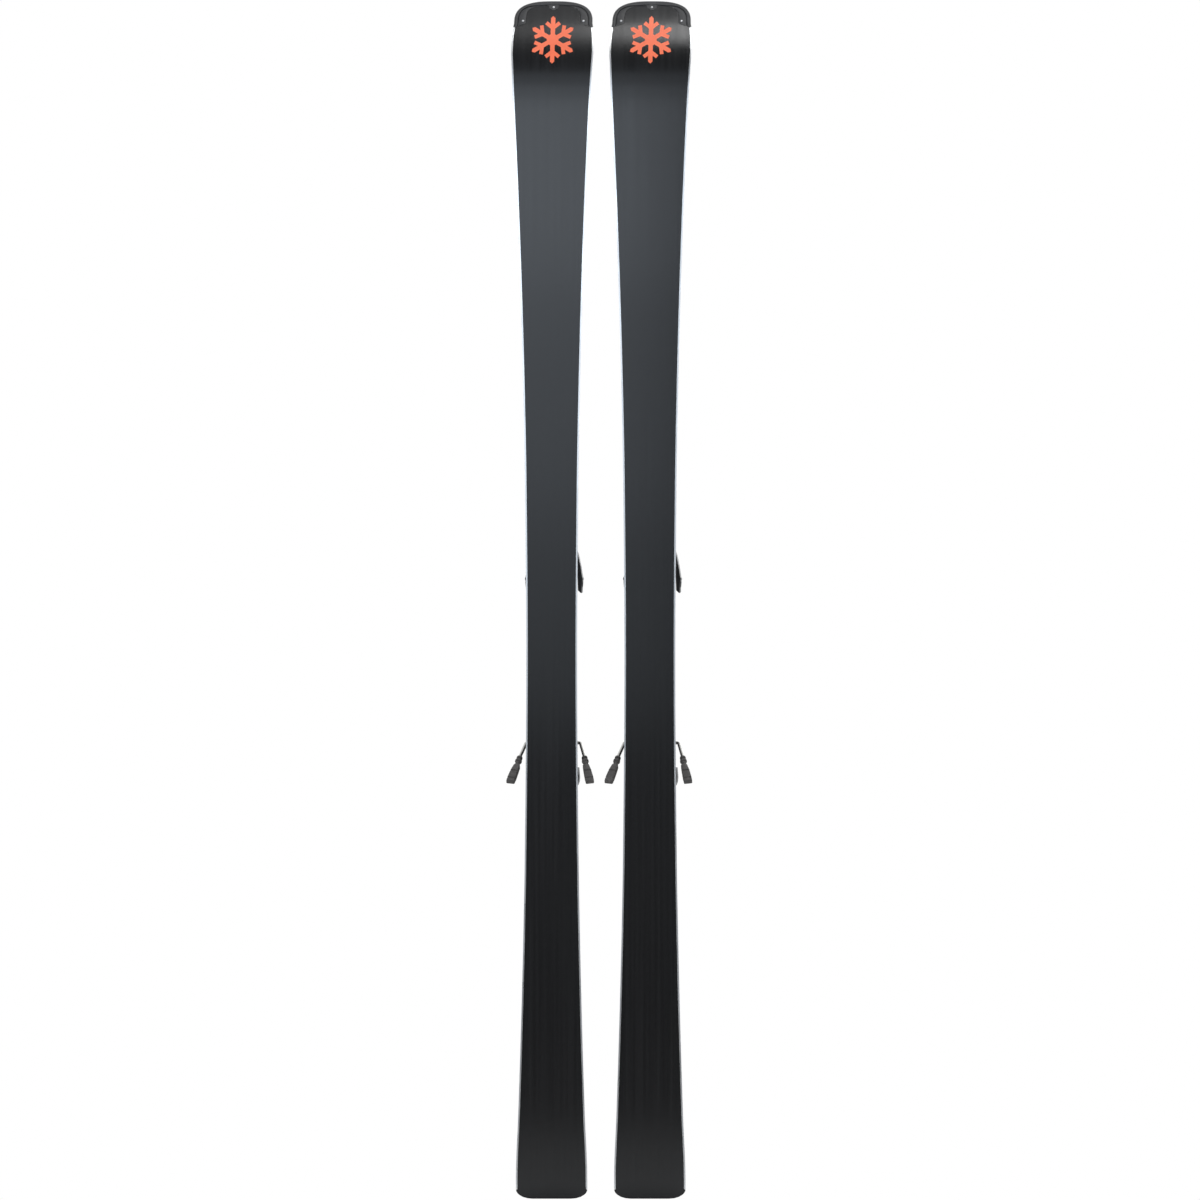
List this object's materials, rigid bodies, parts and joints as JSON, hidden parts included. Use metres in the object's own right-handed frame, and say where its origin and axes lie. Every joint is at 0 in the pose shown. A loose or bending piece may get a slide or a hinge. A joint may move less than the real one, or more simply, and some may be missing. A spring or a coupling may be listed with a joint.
{
  "type": "pair of alpine skis with bindings",
  "caption": "Side-cut alpine skis with upturned tips, steel edges, dark bases, tip protectors and release bindings with ski brakes, standing upright on their tails.",
  "frame": {"origin": "on the floor midway between the two tails, level with the flat middle of the bases", "axes": "+Z along the skis from tail to tip, +Y from the bases to the bindings, +X across, from the left ski to the right one seen on the bases"},
  "size_m": [0.2714, 0.1494, 1.7399],
  "materials": {
    "base": "dark grey sintered polyethylene with a fine stone-ground structure along the ski",
    "edge": "ground bright steel",
    "core": "laminated wood, sealed inside",
    "sidewall": "black plastic with a machined slant",
    "topsheet": "dark satin sheet with coral accents",
    "tip_protector": "dark grey moulded plastic",
    "binding_plate": "black glass-filled plastic",
    "length_band": "rolled steel strip",
    "toe_carriage": "black moulded plastic",
    "toe_housing": "dark satin moulded plastic",
    "toe_wing": "black glass-filled plastic",
    "afd_slider": "light grey low-friction plastic",
    "toe_spring": "oiled spring steel",
    "toe_screw": "zinc-plated steel",
    "heel_carriage": "black moulded plastic",
    "heel_axle": "ground steel pin",
    "heel_housing": "dark satin moulded plastic",
    "heel_cup": "black glass-filled plastic",
    "heel_lever": "coral satin moulded plastic",
    "heel_spring": "oiled spring steel",
    "heel_screw": "zinc-plated steel",
    "brake_housing": "black moulded plastic",
    "brake_pedal": "black moulded plastic",
    "brake_arm": "bent spring-steel wire",
    "brake_foot": "dark grey-brown moulded plastic"
  },
  "bodies": {
    "left_ski": {"left_base": "base", "left_edge_left": "edge", "left_edge_right": "edge", "left_core": "core", "left_sidewall_left": "sidewall", "left_sidewall_right": "sidewall", "left_topsheet": "topsheet", "left_tip_protector": "tip_protector", "left_binding_plate": "binding_plate", "left_length_band": "length_band"},
    "left_toe_piece": {"left_toe_carriage": "toe_carriage", "left_toe_housing": "toe_housing", "left_toe_spring": "toe_spring"},
    "left_wing_left": {"left_toe_wing_left": "toe_wing"},
    "left_wing_right": {"left_toe_wing_right": "toe_wing"},
    "left_afd": {"left_afd_slider": "afd_slider"},
    "left_toe_dial": {"left_toe_screw": "toe_screw"},
    "left_heel_base": {"left_heel_carriage": "heel_carriage", "left_heel_axle": "heel_axle", "left_brake_housing": "brake_housing"},
    "left_heel_rocker": {"left_heel_housing": "heel_housing", "left_heel_cup": "heel_cup", "left_heel_spring": "heel_spring"},
    "left_lever": {"left_heel_lever": "heel_lever"},
    "left_heel_dial": {"left_heel_screw": "heel_screw"},
    "left_brake": {"left_brake_pedal": "brake_pedal", "left_brake_arm_left": "brake_arm", "left_brake_arm_right": "brake_arm", "left_brake_foot_left": "brake_foot", "left_brake_foot_right": "brake_foot"},
    "right_ski": {"right_base": "base", "right_edge_left": "edge", "right_edge_right": "edge", "right_core": "core", "right_sidewall_left": "sidewall", "right_sidewall_right": "sidewall", "right_topsheet": "topsheet", "right_tip_protector": "tip_protector", "right_binding_plate": "binding_plate", "right_length_band": "length_band"},
    "right_toe_piece": {"right_toe_carriage": "toe_carriage", "right_toe_housing": "toe_housing", "right_toe_spring": "toe_spring"},
    "right_wing_left": {"right_toe_wing_left": "toe_wing"},
    "right_wing_right": {"right_toe_wing_right": "toe_wing"},
    "right_afd": {"right_afd_slider": "afd_slider"},
    "right_toe_dial": {"right_toe_screw": "toe_screw"},
    "right_heel_base": {"right_heel_carriage": "heel_carriage", "right_heel_axle": "heel_axle", "right_brake_housing": "brake_housing"},
    "right_heel_rocker": {"right_heel_housing": "heel_housing", "right_heel_cup": "heel_cup", "right_heel_spring": "heel_spring"},
    "right_lever": {"right_heel_lever": "heel_lever"},
    "right_heel_dial": {"right_heel_screw": "heel_screw"},
    "right_brake": {"right_brake_pedal": "brake_pedal", "right_brake_arm_left": "brake_arm", "right_brake_arm_right": "brake_arm", "right_brake_foot_left": "brake_foot", "right_brake_foot_right": "brake_foot"}
  },
  "joints": [
    {"name": "left_toe_adjust", "type": "slide", "parent": "left_ski", "child": "left_toe_piece", "axis": [0, 0, 1], "range_m": [-0.015, 0.015]},
    {"name": "left_wing_left_release", "type": "hinge", "parent": "left_toe_piece", "child": "left_wing_left", "pos_m": [-0.098, 0.061, 0.942], "axis": [0, 1, 0], "range_deg": [0, 25], "stiffness_Nm_per_rad": 5, "springref_deg": -5.73},
    {"name": "left_wing_right_release", "type": "hinge", "parent": "left_toe_piece", "child": "left_wing_right", "pos_m": [-0.045, 0.061, 0.942], "axis": [0, -1, 0], "range_deg": [0, 25], "stiffness_Nm_per_rad": 5, "springref_deg": -5.73},
    {"name": "left_afd_slide", "type": "slide", "parent": "left_toe_piece", "child": "left_afd", "axis": [1, 0, 0], "range_m": [-0.008, 0.008], "stiffness_N_per_m": 500},
    {"name": "left_toe_setting", "type": "hinge", "parent": "left_toe_piece", "child": "left_toe_dial", "pos_m": [-0.0715, 0.06, 0.9995], "axis": [0, 0, 1], "range_deg": [-720, 720]},
    {"name": "left_heel_adjust", "type": "slide", "parent": "left_ski", "child": "left_heel_base", "axis": [0, 0, 1], "range_m": [-0.012, 0.04]},
    {"name": "left_heel_release", "type": "hinge", "parent": "left_heel_base", "child": "left_heel_rocker", "pos_m": [-0.0715, 0.05, 0.541], "axis": [-1, 0, 0], "range_deg": [0, 38]},
    {"name": "left_lever_tilt", "type": "hinge", "parent": "left_heel_rocker", "child": "left_lever", "pos_m": [-0.0715, 0.078, 0.553], "axis": [-1, 0, 0], "range_deg": [0, 19]},
    {"name": "left_heel_setting", "type": "hinge", "parent": "left_heel_rocker", "child": "left_heel_dial", "pos_m": [-0.0715, 0.066, 0.5345], "axis": [0, 0, 1], "range_deg": [-720, 720]},
    {"name": "left_brake_retract", "type": "hinge", "parent": "left_heel_base", "child": "left_brake", "pos_m": [-0.0715, 0.039, 0.6626], "axis": [1, 0, 0], "range_deg": [0, 52], "stiffness_Nm_per_rad": 1.2, "springref_deg": -20.05},
    {"name": "right_ski_apart", "type": "slide", "parent": "left_ski", "child": "right_ski", "axis": [1, 0, 0], "range_m": [0, 0.3]},
    {"name": "right_toe_adjust", "type": "slide", "parent": "right_ski", "child": "right_toe_piece", "axis": [0, 0, 1], "range_m": [-0.015, 0.015]},
    {"name": "right_wing_left_release", "type": "hinge", "parent": "right_toe_piece", "child": "right_wing_left", "pos_m": [0.045, 0.061, 0.942], "axis": [0, 1, 0], "range_deg": [0, 25], "stiffness_Nm_per_rad": 5, "springref_deg": -5.73},
    {"name": "right_wing_right_release", "type": "hinge", "parent": "right_toe_piece", "child": "right_wing_right", "pos_m": [0.098, 0.061, 0.942], "axis": [0, -1, 0], "range_deg": [0, 25], "stiffness_Nm_per_rad": 5, "springref_deg": -5.73},
    {"name": "right_afd_slide", "type": "slide", "parent": "right_toe_piece", "child": "right_afd", "axis": [1, 0, 0], "range_m": [-0.008, 0.008], "stiffness_N_per_m": 500},
    {"name": "right_toe_setting", "type": "hinge", "parent": "right_toe_piece", "child": "right_toe_dial", "pos_m": [0.0715, 0.06, 0.9995], "axis": [0, 0, 1], "range_deg": [-720, 720]},
    {"name": "right_heel_adjust", "type": "slide", "parent": "right_ski", "child": "right_heel_base", "axis": [0, 0, 1], "range_m": [-0.012, 0.04]},
    {"name": "right_heel_release", "type": "hinge", "parent": "right_heel_base", "child": "right_heel_rocker", "pos_m": [0.0715, 0.05, 0.541], "axis": [-1, 0, 0], "range_deg": [0, 38]},
    {"name": "right_lever_tilt", "type": "hinge", "parent": "right_heel_rocker", "child": "right_lever", "pos_m": [0.0715, 0.078, 0.553], "axis": [-1, 0, 0], "range_deg": [0, 19]},
    {"name": "right_heel_setting", "type": "hinge", "parent": "right_heel_rocker", "child": "right_heel_dial", "pos_m": [0.0715, 0.066, 0.5345], "axis": [0, 0, 1], "range_deg": [-720, 720]},
    {"name": "right_brake_retract", "type": "hinge", "parent": "right_heel_base", "child": "right_brake", "pos_m": [0.0715, 0.039, 0.6626], "axis": [1, 0, 0], "range_deg": [0, 52], "stiffness_Nm_per_rad": 1.2, "springref_deg": -20.05}
  ],
  "couplings": [
    {"joint": "left_lever_tilt", "follows": "left_heel_release", "ratio": 0.5},
    {"joint": "right_lever_tilt", "follows": "right_heel_release", "ratio": 0.5}
  ]
}
